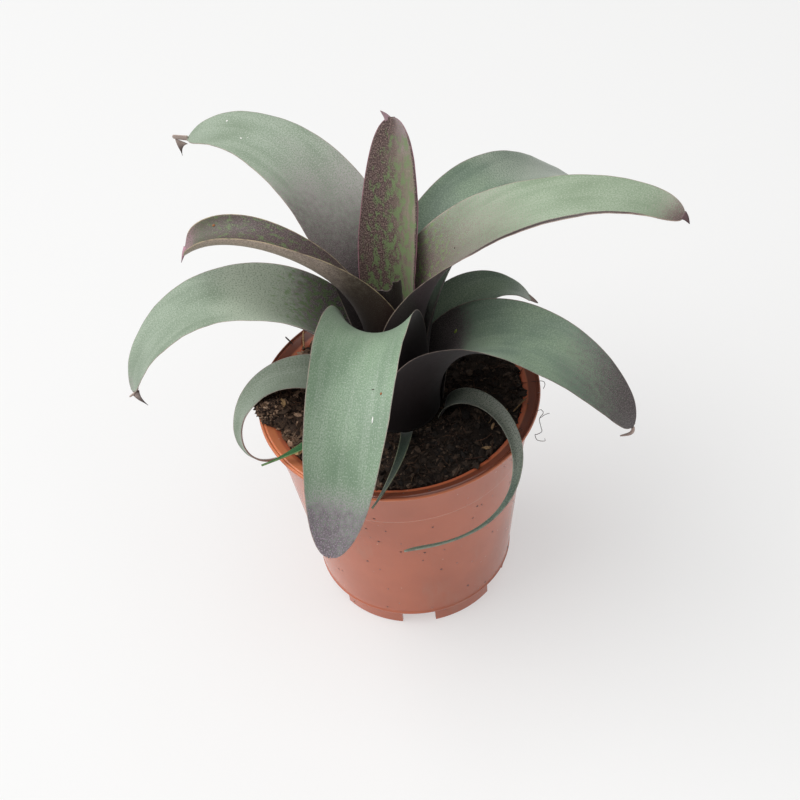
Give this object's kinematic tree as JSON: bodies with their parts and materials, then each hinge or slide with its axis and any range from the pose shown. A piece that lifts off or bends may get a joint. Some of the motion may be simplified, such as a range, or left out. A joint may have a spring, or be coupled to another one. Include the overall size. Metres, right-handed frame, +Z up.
{
  "type": "potted bromeliad",
  "caption": "Rosette of grey-green strap leaves with dark bases and hooked tips, growing in a round terracotta-coloured plastic nursery pot of peat soil.",
  "frame": {"origin": "on the ground, in the middle of the whole plant's box; the pot's axis is 2 mm to -X and 10 mm to +Y of it", "axes": "+Z up along the pot's axis, -Y towards the viewer of the picture, +X to the viewer's right"},
  "size_m": [0.2256, 0.1964, 0.2236],
  "materials": {
    "pot_plastic": "moulded terracotta-coloured plastic, softly glossy",
    "potting_soil": "damp crumbly peat mix with bark chips and fibres",
    "plant_stem": "dull, fibrous",
    "leaf_green": "leathery, grey-green with fine pale scurf",
    "leaf_dark": "leathery, dark green with fine pale scurf",
    "leaf_maroon": "leathery, maroon mottled with green"
  },
  "bodies": {
    "root": {"pot": "pot_plastic", "soil": "potting_soil", "stem": "plant_stem", "leaf_torn": "leaf_maroon", "leaf_upright": "leaf_maroon", "leaf_mid_left": "leaf_maroon", "leaf_right": "leaf_green", "leaf_back_left": "leaf_green", "leaf_back_right": "leaf_dark", "leaf_front": "leaf_green", "leaf_low_left": "leaf_green", "leaf_low_right": "leaf_green", "leaf_small_right": "leaf_dark", "leaf_curl_left": "leaf_dark", "leaf_thin_left": "leaf_dark", "leaf_thin_front": "leaf_dark", "leaf_curl_right": "leaf_dark"}
  },
  "joints": []
}
